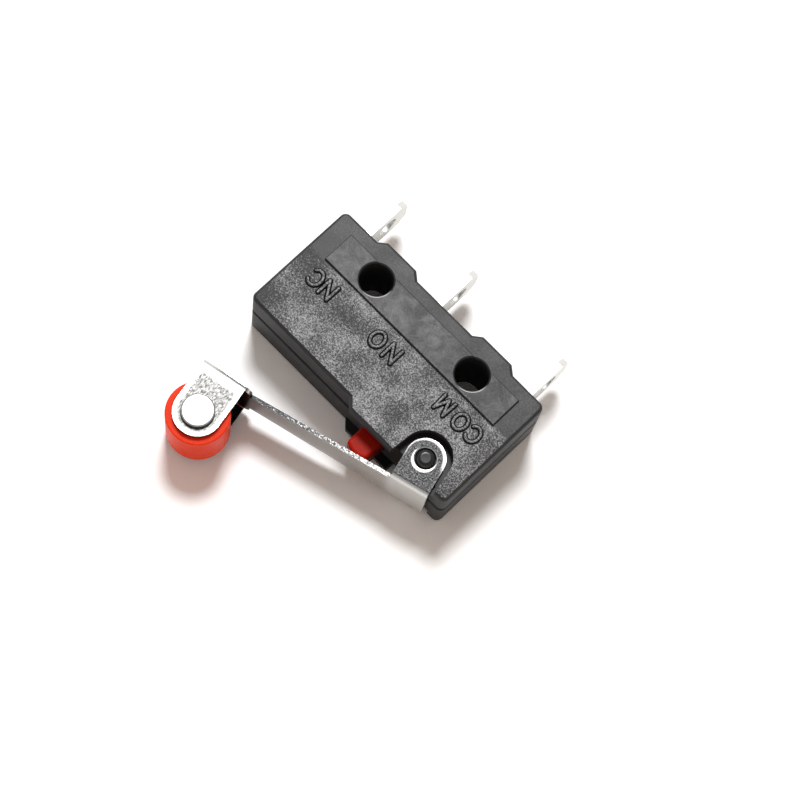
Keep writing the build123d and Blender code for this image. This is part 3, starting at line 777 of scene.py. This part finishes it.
class SWITCH_OT_housing(bpy.types.Operator):
    """Gives both housing halves their moulded plastic."""
    bl_idname = "switch.housing"
    bl_label = "Housing"

    def execute(self, context):
        dress(("case", "cover"), housing_plastic(context.scene.switch_look.housing))
        return {"FINISHED"}


class SWITCH_OT_marks(bpy.types.Operator):
    """Raises the generic terminal marks on the cover: common, normally open and normally closed."""
    bl_idname = "switch.marks"
    bl_label = "Terminal marks"

    def execute(self, context):
        look = context.scene.switch_look.marks
        plastic = mark_plastic(look, context.scene.switch_look.housing)
        for name, letters in WORDS.items():
            points, faces = word_mesh(letters, look)
            mesh_piece(name, points, faces, plastic, "housing")
        return {"FINISHED"}


class SWITCH_OT_lever(bpy.types.Operator):
    """Gives the folded lever and its rivet their plated steel."""
    bl_idname = "switch.lever"
    bl_label = "Lever and rivet"

    def execute(self, context):
        look = context.scene.switch_look.lever
        dress(("lever",), lever_steel(look))
        dress(("rivet",), rivet_steel(look))
        return {"FINISHED"}


class SWITCH_OT_red(bpy.types.Operator):
    """Gives the roller and the plunger their red plastic."""
    bl_idname = "switch.red"
    bl_label = "Roller and plunger"

    def execute(self, context):
        look = context.scene.switch_look.red
        dress(("roller",), red_acetal("Red acetal of the roller", tuple(look.roller), look))
        # The plunger's darker red is painted shade.
        dress(("plunger",), red_acetal("Dark red acetal of the plunger", tuple(look.plunger), look))
        return {"FINISHED"}


class SWITCH_OT_tags(bpy.types.Operator):
    """Gives the terminals, contacts and springs their rolled metals."""
    bl_idname = "switch.tags"
    bl_label = "Terminals, contacts and springs"

    def execute(self, context):
        look = context.scene.switch_look.tags
        for name, shade, nodes, roughness, spacing, left in METALS:
            dress(nodes, rolled_metal(name, tuple(getattr(look, shade)), roughness, spacing * MM, left))
        return {"FINISHED"}


# Camera of the photograph, fitted to the housing's edges: its place, the way it looks, its up, and its
# focal length in pixels of the photograph's side.
CAMERA_PLACE = Vector((26.44, -45.72, 169.88)) * MM
CAMERA_FORWARD = Vector((-0.14, 0.2395, -0.9607))
CAMERA_UP = Vector((-0.6994, 0.6629, 0.2672))
FOCAL_PIXELS = 2460.5
PHOTO_SIDE = 800
SENSOR = 36.0
NEAREST, FARTHEST = 0.01, 10.0
# The key lamp stands high and behind the switch as the photograph sees it, so the cover glints.
KEY_WAY = Vector((-0.306, 0.376, 0.875))
FLOOR_SIDE = 4.0
FLOOR_DROP = 0.004 * MM
# The room that the metal reflects: upward part of the way at which it starts to dim, and at which it is dim.
DIM_FROM, DIM_TO = 0.45, 0.75
WHITE = linear("#ffffff")


def seen_rays(tree):
    """Camera rays, and all rays that show a thing: from the camera, or by way of gloss or glass."""
    ray = put(tree, "ShaderNodeLightPath", {}).outputs
    eye = ray["Is Camera Ray"]
    seen = put(tree, "ShaderNodeMath", {0: eye, 1: ray["Is Glossy Ray"]}, operation="MAXIMUM").outputs[0]
    seen = put(tree, "ShaderNodeMath", {
        0: seen, 1: ray["Is Transmission Ray"],
    }, operation="MAXIMUM").outputs[0]
    return eye, seen


class SWITCH_OT_stage(bpy.types.Operator):
    """Lays the white floor, sets the soft key and fill, and puts the camera at the photograph's angle."""
    bl_idname = "switch.stage"
    bl_label = "Floor, light and camera"

    def execute(self, context):
        look = context.scene.switch_look.stage
        scene = context.scene
        half = FLOOR_SIDE / 2
        mesh = bpy.data.meshes.new("floor")
        corners = ((-half, -half), (half, -half), (half, half), (-half, half))
        mesh.from_pydata([(x, y, -FLOOR_DROP) for x, y in corners], [], [(0, 1, 2, 3)])
        # Matt white paper: it scatters evenly and keeps the shadow, and is seen white round it.
        paper, tree = blank("Matt white paper")
        brighter = tuple(look.floor_gain * x for x in look.floor)
        _, seen = seen_rays(tree)
        shade = put(tree, "ShaderNodeMix", {
            0: seen, 6: rgba(look.floor), 7: rgba(brighter),
        }, data_type="RGBA").outputs[2]
        matt = put(tree, "ShaderNodeBsdfDiffuse", {"Color": shade}).outputs[0]
        put(tree, "ShaderNodeOutputMaterial", {"Surface": matt})
        mesh.materials.append(paper)
        floor = bpy.data.objects.new("floor", mesh)
        scene.collection.objects.link(floor)

        world = bpy.data.worlds.new("studio")
        world.use_nodes = True
        tree = world.node_tree
        tree.nodes.clear()
        eye_ray, seen = seen_rays(tree)
        fill = put(tree, "ShaderNodeBackground", {
            "Color": rgba(look.fill), "Strength": look.fill_strength,
        }).outputs[0]
        # The sweep is white; in the metal and the gloss the room above its edge goes dim.
        way = put(tree, "ShaderNodeTexCoord", {}).outputs["Generated"]
        height = put(tree, "ShaderNodeSeparateXYZ", {"Vector": way}).outputs["Z"]
        dimming = put(tree, "ShaderNodeMapRange", {
            "Value": height, "From Min": DIM_FROM, "From Max": DIM_TO, "To Min": 1.0, "To Max": look.ceiling,
        }, interpolation_type="SMOOTHSTEP").outputs[0]
        shown = put(tree, "ShaderNodeMath", {0: eye_ray, 1: dimming}, operation="MAXIMUM").outputs[0]
        white = put(tree, "ShaderNodeBackground", {"Color": rgba(WHITE), "Strength": shown}).outputs[0]
        mixed = put(tree, "ShaderNodeMixShader", {0: seen, 1: fill, 2: white}).outputs[0]
        put(tree, "ShaderNodeOutputWorld", {"Surface": mixed})
        scene.world = world

        lamp = bpy.data.lights.new("key", "AREA")
        lamp.shape = "DISK"
        lamp.size = look.key_size
        lamp.energy = look.key_power
        lamp.color = look.key
        key = bpy.data.objects.new("key", lamp)
        key_way = KEY_WAY.normalized()
        key.location = key_way * look.key_distance
        key.rotation_mode = "QUATERNION"
        key.rotation_quaternion = (-key_way).to_track_quat("-Z", "Y")
        scene.collection.objects.link(key)

        eye = bpy.data.cameras.new("camera")
        eye.sensor_width = SENSOR
        eye.lens = FOCAL_PIXELS / PHOTO_SIDE * SENSOR
        eye.clip_start = NEAREST
        eye.clip_end = FARTHEST
        camera = bpy.data.objects.new("camera", eye)
        back = -CAMERA_FORWARD.normalized()
        right = CAMERA_UP.cross(back).normalized()
        up = back.cross(right)
        turn = Matrix((right, up, back)).transposed()
        camera.matrix_world = Matrix.Translation(CAMERA_PLACE) @ turn.to_4x4()
        scene.collection.objects.link(camera)
        scene.camera = camera
        scene.view_settings.view_transform = "Standard"
        return {"FINISHED"}


OPERATORS = (
    SWITCH_OT_housing, SWITCH_OT_marks, SWITCH_OT_lever, SWITCH_OT_red, SWITCH_OT_tags, SWITCH_OT_stage,
)


class SWITCH_PT_panel(bpy.types.Panel):
    """Lists the steps that finish the switch, each with what a user would change in it."""
    bl_idname = "SWITCH_PT_panel"
    bl_label = "Lever micro switch"
    bl_space_type = "VIEW_3D"
    bl_region_type = "UI"
    bl_category = "Switch"

    def draw(self, context):
        for step in OPERATORS:
            self.layout.operator(step.bl_idname)
            look = getattr(context.scene.switch_look, step.bl_idname.split(".")[1])
            for name in type(look).__annotations__:
                self.layout.prop(look, name)


CLASSES = (
    HousingLook, MarkLook, LeverLook, RedLook, TagLook, StageLook, SwitchLook, *OPERATORS, SWITCH_PT_panel,
)


def register():
    """Registers the classes and gives the scene its look properties."""
    for kind in CLASSES:
        bpy.utils.register_class(kind)
    bpy.types.Scene.switch_look = section("Switch look", "Sizes and colours of the switch", SwitchLook)


def unregister():
    """Undoes what register does, in reverse."""
    del bpy.types.Scene.switch_look
    for kind in reversed(CLASSES):
        bpy.utils.unregister_class(kind)


def main():
    """Finishes the switch step by step."""
    register()
    for step in OPERATORS:
        group, name = step.bl_idname.split(".")
        getattr(getattr(bpy.ops, group), name)()


if __name__ == "__main__":
    main()
